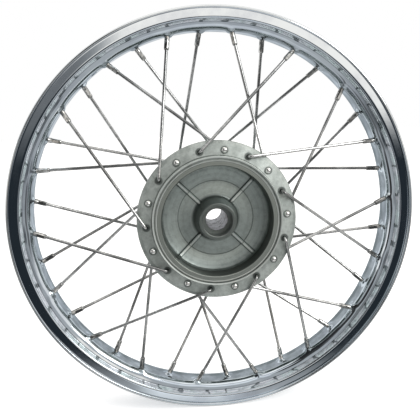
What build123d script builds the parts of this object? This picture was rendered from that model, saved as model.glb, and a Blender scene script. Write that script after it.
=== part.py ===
from build123d import *
import os
from math import cos, hypot, radians, sin, tan

# Spoked front wheel for a motorcycle, sold bare: a steel well rim laced with 36 spokes to an
# aluminium hub that carries the brake drum. Millimetres. The wheel stands upright and its axle
# lies along Y: the drum side faces -Y, the plain side +Y. The origin is the wheel's centre, on
# the axle in the middle plane of the rim. Clock angles run from +X towards +Z.

# Rim: one rolled steel sheet with a well, two bead seats and two lips that curl outwards.
BEAD_SEAT_RADIUS = 228.6
BEAD_SEAT_WIDTH = 7.0
LIP_HEIGHT = 13.0
INSIDE_WIDTH = 40.5
LIP_FLAT = 0.4
SHEET = 1.8
WELL_DEPTH = 9.8
WELL_FLOOR_WIDTH = 18.0
WELL_BEND = 4.0
SEAT_BEND = 2.6
WALL_BEND = 3.0
CURL_BEND = 3.2
EDGE_BEND = 2.2
VALVE_HOLE_RADIUS = 4.2
VALVE_ANGLE = 128.0

# Lacing: each flange has as many holes as half the spokes, filled in turn from either face.
SPOKES = 36
FIRST_RIM_HOLE = 3.0
CROSSING_TURN = 40.0
SPOKE_RADIUS = 1.75
ELBOW_RADIUS = 4.0
ELBOW_TURN = 104.0
ELBOW_GAP = 0.3
SPOKE_HOLE_GAP = 0.25
HEAD_RADIUS = 3.8
HEAD_HEIGHT = 2.7
HOLE_CHAMFER = 0.5

# Nipples: they sit in dimples pressed into the well, in two rows.
NIPPLE_ROW_OFFSET = 4.6
DIMPLE_HEIGHT = 1.6
DIMPLE_TOP_RADIUS = 4.6
DIMPLE_SLOPE = 0.66
DIMPLE_REACH = 6.0
RECESS_DEPTH = 1.8
NIPPLE_RADIUS = 2.9
NIPPLE_LENGTH = 15.0
NIPPLE_ROUND_LENGTH = 4.5
NIPPLE_SQUARE = 5.0
NIPPLE_END_RADIUS = 2.4
NIPPLE_END_LENGTH = 1.6
NIPPLE_HEAD_RADIUS = 4.3
NIPPLE_HEAD_HEIGHT = 4.2
NIPPLE_HEAD_BAND = 0.5
SLOT_WIDTH = 1.2
SLOT_DEPTH = 1.3
THREAD_GAP = 0.05
NIPPLE_HOLE_GAP = 0.2
SEAT_GAP = 0.05

# Hub, drum side. Distances along the axle are from the rim's middle plane.
DRUM_RADIUS = 65.0
DRUM_MOUTH = 43.3
LINER_WALL = 4.5
LINER_LENGTH = 21.8
LIP_RADIUS = 75.8
SEAL_GROOVE_RADIUS = 71.6
SEAL_GROOVE_WIDTH = 1.8
SEAL_GROOVE_DEPTH = 2.5
MOUTH_CHAMFER = 0.8
WEB_PLACE = 18.5
WEB_WALL = 6.0
WEB_STEP_RADIUS = 45.0
WEB_STEP = 0.8
WEB_CORNER = 2.8
DRUM_WALL_RADIUS = 74.6
RIBS = 4
RIB_WIDTH = 4.4
RIB_HEIGHT = 3.4
RIB_ANGLE = 45.0
RIB_TAPER = 10.0
BOSS_FACE_RADIUS = 21.7
BOSS_BASE_RADIUS = 26.0
BOSS_FACE = 42.8
BOSS_FILLET = 3.5

# Hub, flanges and barrel.
FLANGE_WALL = 6.0
FLANGE_MARGIN = 10.8
FLANGE_BEVEL = 4.0
FLANGE_BEVEL_DROP = 1.7
DRUM_FLANGE_FACE = 37.0
DRUM_FLANGE_CIRCLE = 82.55
PLAIN_FLANGE_FACE = 44.0
PLAIN_FLANGE_CIRCLE = 62.7
PLAIN_FLANGE_MARGIN = 8.0
BARREL_RADIUS = 26.0
BARREL_FILLET = 12.0
BACK_CONE = 7.0
BACK_FILLET = 8.0
EDGE_FILLET = 1.2
FACE_FILLET = 1.5
PLAIN_BOSS_RADIUS = 24.0
PLAIN_BOSS_FACE = 46.5
PLAIN_RELIEF_DEPTH = 1.5
PLAIN_RELIEF_WIDTH = 16.0

# Bearing seats and the bore between them.
BEARING_RADIUS = 17.5
BEARING_SEAT_LENGTH = 14.4
PLAIN_SEAT_LENGTH = 13.5
BORE_RADIUS = 12.8
SEAT_CHAMFER = 0.8

# Dependent sizes.
WELL_RADIUS = BEAD_SEAT_RADIUS - WELL_DEPTH
WELL_HUB_RADIUS = WELL_RADIUS - SHEET
DIMPLE_RADIUS = WELL_HUB_RADIUS - DIMPLE_HEIGHT
RIM_OUTER_RADIUS = BEAD_SEAT_RADIUS + LIP_HEIGHT
LIP_REACH = INSIDE_WIDTH / 2 + CURL_BEND + LIP_FLAT + EDGE_BEND
BEAD_SEAT_START = INSIDE_WIDTH / 2 - BEAD_SEAT_WIDTH
SPOKES_PER_FAMILY = SPOKES // 4
RIM_PITCH = 360 / SPOKES
FAMILY_PITCH = 4 * RIM_PITCH
LINER_RADIUS = DRUM_RADIUS + LINER_WALL
LINER_END = DRUM_MOUTH - LINER_LENGTH
DRUM_FLANGE_BACK = DRUM_FLANGE_FACE - FLANGE_WALL
PLAIN_FLANGE_BACK = PLAIN_FLANGE_FACE - FLANGE_WALL
DRUM_FLANGE_RADIUS = DRUM_FLANGE_CIRCLE + FLANGE_MARGIN
PLAIN_FLANGE_RADIUS = PLAIN_FLANGE_CIRCLE + PLAIN_FLANGE_MARGIN
SPOKE_HOLE_RADIUS = SPOKE_RADIUS + SPOKE_HOLE_GAP
NIPPLE_HOLE_RADIUS = NIPPLE_RADIUS + NIPPLE_HOLE_GAP
# A wall of one sheet's thickness is left between the dimple's cone and the recess behind it.
RECESS_RADIUS = DIMPLE_TOP_RADIUS + SHEET * (DIMPLE_SLOPE - hypot(1, DIMPLE_SLOPE))
RECESS_RIM_RADIUS = RECESS_RADIUS + DIMPLE_SLOPE * RECESS_DEPTH
NIPPLE_HEAD_BASE = -SHEET - SEAT_GAP
NIPPLE_HEAD_TOP = -SHEET - NIPPLE_HEAD_HEIGHT
NIPPLE_SEAT_HEIGHT = (NIPPLE_HEAD_RADIUS - RECESS_RADIUS + SEAT_GAP) / DIMPLE_SLOPE
NIPPLE_SHOULDER = NIPPLE_HEAD_BASE - NIPPLE_SEAT_HEIGHT - NIPPLE_HEAD_BAND
SPOKE_TIP = NIPPLE_HEAD_TOP + SLOT_DEPTH + THREAD_GAP
RIB_END_RADIUS = DRUM_RADIUS - WEB_CORNER
RELIEF_RADIUS = PLAIN_BOSS_RADIUS + PLAIN_RELIEF_WIDTH
ELBOW_REACH = ELBOW_RADIUS * tan(radians(ELBOW_TURN / 2)) + ELBOW_GAP


def on_wheel(radius, angle, along):
    """The point at a radius and clock angle, a distance along the axle."""
    turn = radians(angle)
    return Vector(radius * cos(turn), along, radius * sin(turn))


class SpokeFamily:
    """Nine spokes that are alike: same flange, same face for their heads, same lean."""

    def __init__(self, name, side, heads_out, first_rim_angle, lean):
        self.name = name
        self.side = side
        self.first_rim_angle = first_rim_angle
        self.lean = lean
        if side < 0:
            outer_face, inner_face, self.circle = DRUM_FLANGE_FACE, DRUM_FLANGE_BACK, DRUM_FLANGE_CIRCLE
        else:
            outer_face, inner_face, self.circle = PLAIN_FLANGE_FACE, PLAIN_FLANGE_BACK, PLAIN_FLANGE_CIRCLE
        if heads_out:
            self.head_face = side * outer_face
            self.elbow_place = side * (inner_face - ELBOW_REACH)
            self.head_way = side
        else:
            self.head_face = side * inner_face
            self.elbow_place = side * (outer_face + ELBOW_REACH)
            self.head_way = -side

    def rim_angle(self, index):
        """Clock angle of a spoke's hole in the rim."""
        return self.first_rim_angle + index * FAMILY_PITCH

    def hub_angle(self, index):
        """Clock angle of a spoke's hole in the flange."""
        return self.rim_angle(index) + self.lean * CROSSING_TURN

    def nipple_plane(self, index):
        """Plane on top of the dimple, facing the hub along the spoke."""
        seat = on_wheel(DIMPLE_RADIUS, self.rim_angle(index), self.side * NIPPLE_ROW_OFFSET)
        elbow = on_wheel(self.circle, self.hub_angle(index), self.elbow_place)
        return Plane(origin=seat, z_dir=elbow - seat)


FAMILIES = [
    SpokeFamily("drum_outer", -1, False, FIRST_RIM_HOLE + 2 * RIM_PITCH, 1),
    SpokeFamily("drum_inner", -1, True, FIRST_RIM_HOLE, -1),
    SpokeFamily("plain_outer", 1, False, FIRST_RIM_HOLE + RIM_PITCH, 1),
    SpokeFamily("plain_inner", 1, True, FIRST_RIM_HOLE + 3 * RIM_PITCH, -1),
]


def tyre_side():
    """Half of the rim's outline on the tyre side, from the middle of the well to the lip's edge."""
    return FilletPolyline(
        (WELL_RADIUS, 0),
        (WELL_RADIUS, WELL_FLOOR_WIDTH / 2),
        (BEAD_SEAT_RADIUS, BEAD_SEAT_START),
        (BEAD_SEAT_RADIUS, INSIDE_WIDTH / 2),
        (RIM_OUTER_RADIUS, INSIDE_WIDTH / 2),
        (RIM_OUTER_RADIUS, LIP_REACH),
        (RIM_OUTER_RADIUS - EDGE_BEND - LIP_FLAT, LIP_REACH),
        radius=[WELL_BEND, SEAT_BEND, WALL_BEND, CURL_BEND, EDGE_BEND],
    )


def write(piece, name):
    """Name a finished piece and write it as a STEP file."""
    piece.part.label = name
    export_step(piece.part, f"parts/{name}.step")


# The space behind each dimple: the nipple's hole, the seat for its head and the way in to it.
with BuildPart() as punch:
    with BuildSketch(Plane.XZ):
        with BuildLine():
            Polyline(
                (0, DIMPLE_REACH),
                (NIPPLE_HOLE_RADIUS, DIMPLE_REACH),
                (NIPPLE_HOLE_RADIUS, -SHEET),
                (RECESS_RADIUS, -SHEET),
                (RECESS_RIM_RADIUS, -SHEET - RECESS_DEPTH),
                (RECESS_RIM_RADIUS, -SHEET - RECESS_DEPTH - DIMPLE_REACH),
                (0, -SHEET - RECESS_DEPTH - DIMPLE_REACH),
                close=True,
            )
        make_face()
    revolve(axis=Axis.Z)

# Rim. The sheet is revolved, dimples are added, and the well is cleared again on the tyre side.
with BuildPart() as rim:
    with BuildSketch(Plane.XY):
        with BuildLine():
            tyre_side()
            offset(amount=SHEET, side=Side.LEFT)
        make_face()
        mirror(about=Plane.XZ)
    revolve(axis=Axis.Y)
    dimple_planes = [family.nipple_plane(index) for family in FAMILIES for index in range(SPOKES_PER_FAMILY)]
    with Locations(*dimple_planes):
        Cone(
            DIMPLE_TOP_RADIUS + DIMPLE_SLOPE * DIMPLE_REACH,
            DIMPLE_TOP_RADIUS,
            DIMPLE_REACH,
            align=(Align.CENTER, Align.CENTER, Align.MAX),
        )
    with BuildSketch(Plane.XY):
        with BuildLine():
            FilletPolyline(
                (WELL_RADIUS, 0),
                (WELL_RADIUS, WELL_FLOOR_WIDTH / 2),
                (BEAD_SEAT_RADIUS, BEAD_SEAT_START),
                radius=[WELL_BEND],
            )
            Polyline((BEAD_SEAT_RADIUS, BEAD_SEAT_START), (BEAD_SEAT_RADIUS, 0), (WELL_RADIUS, 0))
        make_face()
        mirror(about=Plane.XZ)
    revolve(axis=Axis.Y, mode=Mode.SUBTRACT)
    with Locations(*dimple_planes):
        add(punch.part, mode=Mode.SUBTRACT)
    with Locations(Plane(origin=on_wheel(WELL_RADIUS, VALVE_ANGLE, 0), z_dir=on_wheel(1, VALVE_ANGLE, 0))):
        Cylinder(VALVE_HOLE_RADIUS, 4 * SHEET, mode=Mode.SUBTRACT)
write(rim, "rim")


# Brake drum liner: a plain iron ring cast into the hub, bored for the brake shoes.
with BuildPart() as liner:
    with BuildSketch(Plane.XY):
        with BuildLine():
            Polyline(
                (LINER_RADIUS, -LINER_END),
                (LINER_RADIUS, -DRUM_MOUTH),
                (DRUM_RADIUS + MOUTH_CHAMFER, -DRUM_MOUTH),
                (DRUM_RADIUS, -DRUM_MOUTH + MOUTH_CHAMFER),
                (DRUM_RADIUS, -LINER_END),
                close=True,
            )
        make_face()
    revolve(axis=Axis.Y)
write(liner, "brake_drum_liner")


# Hub casting. Its outline runs from the drum side's bearing seat out over the drum's web, wall
# and lip, round the spoke flange, back along the barrel to the plain flange and its bearing seat.
with BuildPart() as hub:
    with BuildSketch(Plane.XY):
        with BuildLine():
            outline = [
                (BORE_RADIUS, BEARING_SEAT_LENGTH - BOSS_FACE, 0),
                (BEARING_RADIUS, BEARING_SEAT_LENGTH - BOSS_FACE, 0),
                (BEARING_RADIUS, SEAT_CHAMFER - BOSS_FACE, 0),
                (BEARING_RADIUS + SEAT_CHAMFER, -BOSS_FACE, 0),
                (BOSS_FACE_RADIUS, -BOSS_FACE, EDGE_FILLET),
                (BOSS_BASE_RADIUS, WEB_STEP - WEB_PLACE, BOSS_FILLET),
                (WEB_STEP_RADIUS, WEB_STEP - WEB_PLACE, 0),
                (WEB_STEP_RADIUS, -WEB_PLACE, 0),
                (DRUM_RADIUS, -WEB_PLACE, WEB_CORNER),
                (DRUM_RADIUS, -LINER_END, 0),
                (LINER_RADIUS, -LINER_END, 0),
                (LINER_RADIUS, -DRUM_MOUTH, 0),
                (SEAL_GROOVE_RADIUS, -DRUM_MOUTH, 0),
                (SEAL_GROOVE_RADIUS, SEAL_GROOVE_DEPTH - DRUM_MOUTH, 0),
                (SEAL_GROOVE_RADIUS + SEAL_GROOVE_WIDTH, SEAL_GROOVE_DEPTH - DRUM_MOUTH, 0),
                (SEAL_GROOVE_RADIUS + SEAL_GROOVE_WIDTH, -DRUM_MOUTH, 0),
                (LIP_RADIUS, -DRUM_MOUTH, MOUTH_CHAMFER),
                (LIP_RADIUS, -DRUM_FLANGE_FACE, FACE_FILLET),
                (DRUM_FLANGE_RADIUS - FLANGE_BEVEL, -DRUM_FLANGE_FACE, 0),
                (DRUM_FLANGE_RADIUS, FLANGE_BEVEL_DROP - DRUM_FLANGE_FACE, EDGE_FILLET),
                (DRUM_FLANGE_RADIUS, -DRUM_FLANGE_BACK, EDGE_FILLET),
                (DRUM_WALL_RADIUS, -DRUM_FLANGE_BACK, FACE_FILLET),
                (DRUM_WALL_RADIUS, WEB_WALL - WEB_PLACE, BACK_FILLET),
                (BARREL_RADIUS, WEB_WALL + BACK_CONE - WEB_PLACE, BARREL_FILLET),
                (BARREL_RADIUS, PLAIN_FLANGE_BACK, BARREL_FILLET),
                (PLAIN_FLANGE_RADIUS, PLAIN_FLANGE_BACK, EDGE_FILLET),
                (PLAIN_FLANGE_RADIUS, PLAIN_FLANGE_FACE, EDGE_FILLET),
                (RELIEF_RADIUS, PLAIN_FLANGE_FACE, 0),
                (RELIEF_RADIUS - PLAIN_RELIEF_DEPTH, PLAIN_FLANGE_FACE - PLAIN_RELIEF_DEPTH, FACE_FILLET),
                (PLAIN_BOSS_RADIUS, PLAIN_FLANGE_FACE - PLAIN_RELIEF_DEPTH, FACE_FILLET),
                (PLAIN_BOSS_RADIUS, PLAIN_BOSS_FACE, EDGE_FILLET),
                (BEARING_RADIUS + SEAT_CHAMFER, PLAIN_BOSS_FACE, 0),
                (BEARING_RADIUS, PLAIN_BOSS_FACE - SEAT_CHAMFER, 0),
                (BEARING_RADIUS, PLAIN_BOSS_FACE - PLAIN_SEAT_LENGTH, 0),
                (BORE_RADIUS, PLAIN_BOSS_FACE - PLAIN_SEAT_LENGTH, 0),
            ]
            FilletPolyline(
                *[(radius, along) for radius, along, _ in outline],
                radius=[bend for _, _, bend in outline],
                close=True,
            )
        make_face()
    revolve(axis=Axis.Y)
    with BuildSketch(Plane.XZ.offset(WEB_PLACE - WEB_STEP)):
        with PolarLocations((RIB_END_RADIUS + BOSS_BASE_RADIUS) / 2, RIBS, start_angle=RIB_ANGLE):
            Rectangle(RIB_END_RADIUS - BOSS_BASE_RADIUS, RIB_WIDTH)
    extrude(amount=RIB_HEIGHT, taper=RIB_TAPER)
    for face, circle in ((-DRUM_FLANGE_FACE, DRUM_FLANGE_CIRCLE), (PLAIN_FLANGE_FACE, PLAIN_FLANGE_CIRCLE)):
        first_hole = FIRST_RIM_HOLE + (0 if face < 0 else RIM_PITCH)
        with BuildSketch(Plane.XZ.offset(-face)):
            with PolarLocations(circle, SPOKES // 2, start_angle=first_hole):
                Circle(SPOKE_HOLE_RADIUS)
        extrude(amount=-FLANGE_WALL if face < 0 else FLANGE_WALL, mode=Mode.SUBTRACT)
    spoke_hole_edges = hub.edges().filter_by(GeomType.CIRCLE).filter_by(
        lambda edge: abs(edge.radius - SPOKE_HOLE_RADIUS) < THREAD_GAP
    )
    chamfer(spoke_hole_edges, HOLE_CHAMFER)
write(hub, "hub_casting")


# Spokes. Each is one bent wire with a domed head, from its flange to inside its nipple's head.
def build_spoke(family, index):
    """One spoke of a family, in its place."""
    hole_angle = family.hub_angle(index)
    head = on_wheel(family.circle, hole_angle, family.head_face)
    elbow = on_wheel(family.circle, hole_angle, family.elbow_place)
    tip = family.nipple_plane(index).from_local_coords(Vector(0, 0, SPOKE_TIP))
    outward = on_wheel(1, hole_angle, 0)
    head_way = Vector(0, family.head_way, 0)
    with BuildPart() as spoke:
        with BuildLine():
            FilletPolyline(head, elbow, tip, radius=ELBOW_RADIUS)
        with BuildSketch(Plane(origin=head, z_dir=elbow - head)):
            Circle(SPOKE_RADIUS)
        sweep()
        with BuildSketch(Plane(origin=head, x_dir=outward, z_dir=outward.cross(head_way))):
            with BuildLine():
                Polyline((0, HEAD_HEIGHT), (0, 0), (HEAD_RADIUS, 0))
                TangentArc((0, HEAD_HEIGHT), (HEAD_RADIUS, 0), tangent=(1, 0))
            make_face()
        revolve(axis=Axis(head, head_way))
    return spoke


# Nipple: a domed, slotted head on a cone, a round neck, a square for the key and a tapered end.
with BuildPart() as nipple:
    with BuildSketch(Plane.XZ):
        with BuildLine():
            Polyline(
                (0, NIPPLE_HEAD_TOP),
                (0, NIPPLE_LENGTH),
                (NIPPLE_END_RADIUS, NIPPLE_LENGTH),
                (NIPPLE_RADIUS, NIPPLE_LENGTH - NIPPLE_END_LENGTH),
                (NIPPLE_RADIUS, NIPPLE_HEAD_BASE),
                (RECESS_RADIUS - SEAT_GAP, NIPPLE_HEAD_BASE),
                (NIPPLE_HEAD_RADIUS, NIPPLE_HEAD_BASE - NIPPLE_SEAT_HEIGHT),
                (NIPPLE_HEAD_RADIUS, NIPPLE_SHOULDER),
            )
            TangentArc((0, NIPPLE_HEAD_TOP), (NIPPLE_HEAD_RADIUS, NIPPLE_SHOULDER), tangent=(1, 0))
        make_face()
    revolve(axis=Axis.Z)
    with BuildSketch(Plane.XY.offset(NIPPLE_ROUND_LENGTH)):
        Circle(2 * NIPPLE_RADIUS)
        Rectangle(NIPPLE_SQUARE, NIPPLE_SQUARE, mode=Mode.SUBTRACT)
    extrude(amount=NIPPLE_LENGTH, mode=Mode.SUBTRACT)
    with BuildSketch(Plane.XY.offset(NIPPLE_HEAD_TOP)):
        Rectangle(4 * NIPPLE_HEAD_RADIUS, SLOT_WIDTH)
    extrude(amount=SLOT_DEPTH, mode=Mode.SUBTRACT)
    with BuildSketch(Plane.XY.offset(NIPPLE_HEAD_TOP)):
        Circle(SPOKE_RADIUS + THREAD_GAP)
    extrude(amount=NIPPLE_LENGTH - NIPPLE_HEAD_TOP, mode=Mode.SUBTRACT)


for family in FAMILIES:
    for index in range(SPOKES_PER_FAMILY):
        write(build_spoke(family, index), f"spoke_{family.name}_{index + 1}")
    with BuildPart() as nipple_set:
        with Locations(*[family.nipple_plane(index) for index in range(SPOKES_PER_FAMILY)]):
            add(nipple.part)
    write(nipple_set, f"nipples_{family.name}")
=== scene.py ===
import logging
import math
from dataclasses import dataclass, field
from enum import Enum
from typing import Any, Iterable, Optional, Union

import bmesh
import bpy
from bmesh.types import BMEdge, BMesh, BMVert
from bpy.types import Material, Object
from mathutils import Matrix, Vector

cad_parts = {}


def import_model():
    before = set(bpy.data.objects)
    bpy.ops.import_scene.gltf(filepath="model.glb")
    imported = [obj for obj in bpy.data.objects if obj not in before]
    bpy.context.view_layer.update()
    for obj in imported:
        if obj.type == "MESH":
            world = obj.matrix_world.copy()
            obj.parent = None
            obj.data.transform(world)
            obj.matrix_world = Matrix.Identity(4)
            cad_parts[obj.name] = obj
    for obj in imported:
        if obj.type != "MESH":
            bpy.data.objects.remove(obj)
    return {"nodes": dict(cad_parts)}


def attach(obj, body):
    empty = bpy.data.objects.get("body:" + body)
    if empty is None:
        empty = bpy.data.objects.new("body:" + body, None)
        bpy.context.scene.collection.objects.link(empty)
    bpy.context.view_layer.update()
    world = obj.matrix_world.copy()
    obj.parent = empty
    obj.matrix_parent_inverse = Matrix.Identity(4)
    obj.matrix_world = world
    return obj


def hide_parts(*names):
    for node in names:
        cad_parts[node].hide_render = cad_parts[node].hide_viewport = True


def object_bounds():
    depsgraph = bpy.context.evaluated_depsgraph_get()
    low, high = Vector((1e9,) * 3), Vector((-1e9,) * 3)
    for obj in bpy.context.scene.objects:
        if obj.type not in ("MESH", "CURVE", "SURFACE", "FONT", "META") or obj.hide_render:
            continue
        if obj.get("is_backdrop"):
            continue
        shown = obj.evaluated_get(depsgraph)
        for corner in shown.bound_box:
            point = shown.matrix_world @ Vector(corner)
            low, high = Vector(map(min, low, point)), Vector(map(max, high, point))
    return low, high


LOG = logging.getLogger("wheel")
MM = 0.001
TURN = 2 * math.pi
AXLE = Vector((0, 1, 0))
WELD = 0.001 * MM
SEAM = 0.02 * MM
CREASE = math.radians(35)
SHEET = 1.8 * MM
CONE_SLOPE = 0.66

Number = Union[int, float]
Span = tuple[float, float]
Colour = tuple[float, float, float]
Sockets = dict[str, Any]


class Side(Enum):
    """Which end of the axle a flange is at, as the sign of its Y."""

    DRUM = -1
    PLAIN = 1


class Leaves(Enum):
    """Which face of its flange a spoke's wire leaves from. Its head is on the other face."""

    OUTER = 1
    INNER = -1


# --- Shader maths -------------------------------------------------------------------------


class Wire:
    """A shader socket that can be used in Python arithmetic."""

    def __init__(self, graph: "Graph", socket: bpy.types.NodeSocket) -> None:
        """Wraps a socket."""
        self.graph = graph
        self.socket = socket

    def apply(self, operation: str, *others: Union["Wire", Number]) -> "Wire":
        """Adds one Math node on this value."""
        values = dict(enumerate((self, *others)))
        return self.graph.node("ShaderNodeMath", {"operation": operation}, values)

    def __add__(self, other: Union["Wire", Number]) -> "Wire":
        """This value plus another."""
        return self.apply("ADD", other)

    __radd__ = __add__

    def __mul__(self, other: Union["Wire", Number]) -> "Wire":
        """This value times another."""
        return self.apply("MULTIPLY", other)

    __rmul__ = __mul__

    def __sub__(self, other: Union["Wire", Number]) -> "Wire":
        """This value less another."""
        return self.apply("SUBTRACT", other)

    def __rsub__(self, other: Number) -> "Wire":
        """A number less this value."""
        return (self * -1) + other

    def __pow__(self, other: Number) -> "Wire":
        """This value to a power."""
        return self.apply("POWER", other)

    def fraction(self) -> "Wire":
        """The part after the decimal point."""
        return self.apply("FRACT")

    def size(self) -> "Wire":
        """The value without its sign."""
        return self.apply("ABSOLUTE")

    def at_most(self, other: Number) -> "Wire":
        """This value, or another where that is lower."""
        return self.apply("MINIMUM", other)

    def past(self, low: Number, high: Number) -> "Wire":
        """How far this value is past a low one, up to a high one."""
        return self.apply("MAXIMUM", low).at_most(high) - low

    def wrapped(self, half_turn: float) -> "Wire":
        """An angle brought between minus and plus half a turn."""
        return self.apply("WRAP", half_turn, -half_turn)

    def smooth(self, low: float, high: float) -> "Wire":
        """A smooth step from 0 at low to 1 at high, or back where low is above high.

        Args:
            low: the value that gives 0.
            high: the value that gives 1.

        Returns:
            The step.
        """
        settings = {"interpolation_type": "SMOOTHSTEP"}
        flipped = low > high
        first, last = (high, low) if flipped else (low, high)
        values = {"Value": self, "From Min": first, "From Max": last}
        step = self.graph.node("ShaderNodeMapRange", settings, values)
        return 1 - step if flipped else step


class Graph:
    """A material's or world's node tree, and the one place that adds nodes to it."""

    def __init__(self, tree: bpy.types.NodeTree) -> None:
        """Empties a tree and holds it."""
        self.tree = tree
        tree.nodes.clear()

    def node(
        self,
        kind: str,
        settings: Optional[dict[str, Any]] = None,
        values: Optional[dict[Union[str, int], Any]] = None,
        output: Union[str, int] = 0,
    ) -> Wire:
        """Adds a node, sets it up and feeds its sockets.

        Args:
            kind: the node's type.
            settings: the node's own settings.
            values: numbers, colours or wires for the input sockets, by name or place.
            output: the output to hand back.

        Returns:
            The chosen output.
        """
        made = self.tree.nodes.new(kind)
        for name, value in (settings or {}).items():
            setattr(made, name, value)
        for name, value in (values or {}).items():
            if isinstance(value, Wire):
                self.tree.links.new(value.socket, made.inputs[name])
            else:
                made.inputs[name].default_value = value
        return Wire(self, made.outputs[output])

    def sink(self, kind: str, wire: Wire) -> None:
        """Adds an output node and feeds its surface."""
        self.tree.links.new(wire.socket, self.tree.nodes.new(kind).inputs["Surface"])

    def parts(self, vector: Wire) -> tuple[Wire, Wire, Wire]:
        """A vector's three numbers.

        Args:
            vector: the vector to take apart.

        Returns:
            Its X, Y and Z.
        """
        first = self.node("ShaderNodeSeparateXYZ", values={0: vector})
        outputs = first.socket.node.outputs
        return tuple(Wire(self, outputs[i]) for i in range(3))

    def on_wheel(self) -> tuple[Wire, Wire, Wire, Wire]:
        """A point's coordinates, its radius from the axle, its Y along it and its clock angle."""
        place = self.node("ShaderNodeTexCoord", output="Object")
        x, along, z = self.parts(place)
        return place, (x * x + z * z) ** 0.5, along, z.apply("ARCTAN2", x)

    def point(self, first: Wire, second: Union[Wire, Number] = 0.0) -> Wire:
        """A point of a plane, for noise that changes only along chosen lines."""
        return self.node("ShaderNodeCombineXYZ", values={0: first, 1: second})

    def blend(self, amount: Wire, first: Union[Wire, Colour], second: Union[Wire, Colour]) -> Wire:
        """Mixes two colours.

        Args:
            amount: 0 for the first, 1 for the second.
            first: a colour or a wire.
            second: a colour or a wire.

        Returns:
            The mixed colour.
        """
        values: dict[Union[str, int], Any] = {0: amount}
        for slot, colour in ((6, first), (7, second)):
            values[slot] = colour if isinstance(colour, Wire) else (*colour, 1.0)
        return self.node("ShaderNodeMix", {"data_type": "RGBA"}, values, output=2)

    def bump(self, height: Wire) -> Wire:
        """A surface normal from a height in metres."""
        return self.node("ShaderNodeBump", values={"Strength": 1.0, "Distance": 1.0, "Height": height})


@dataclass(frozen=True)
class Clouds:
    """Noise: how fine per metre, its finer layers, the levels it counts between, and its strength."""

    scale: float
    detail: float = 2.0
    roughness: float = 0.5
    low: float = 0.0
    high: float = 1.0
    strength: float = 1.0

    def at(self, place: Wire) -> Wire:
        """The noise itself at a place, mostly from 0.3 to 0.7."""
        values = {"Vector": place, "Scale": self.scale, "Detail": self.detail, "Roughness": self.roughness}
        return place.graph.node("ShaderNodeTexNoise", values=values)

    def mask(self, place: Wire) -> Wire:
        """The patches where the noise is high: its strength there, and 0 elsewhere."""
        return self.at(place).smooth(self.low, self.high) * self.strength


@dataclass(frozen=True)
class Strip:
    """A soft-edged strip in millimetres: where it fades in, where it fades out, and its strength."""

    start: float
    full: float
    last: float
    end: float
    strength: float = 1.0

    def mask(self, distance: Wire) -> Wire:
        """The strip along a distance: its strength there, and 0 elsewhere."""
        rise = distance.smooth(self.start * MM, self.full * MM)
        return rise * distance.smooth(self.end * MM, self.last * MM) * self.strength


# --- Finishes -----------------------------------------------------------------------------


class Finish:
    """What the finishes share: a name, and a Principled shader that is fed by their sockets."""

    name: str

    def sockets(self, graph: Graph) -> Sockets:
        """What feeds the shader."""
        raise NotImplementedError

    def material(self) -> Material:
        """Makes the material."""
        material = bpy.data.materials.new(self.name)
        material.use_nodes = True
        graph = Graph(material.node_tree)
        shader = graph.node("ShaderNodeBsdfPrincipled", values=self.sockets(graph))
        graph.sink("ShaderNodeOutputMaterial", shader)
        return material


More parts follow.
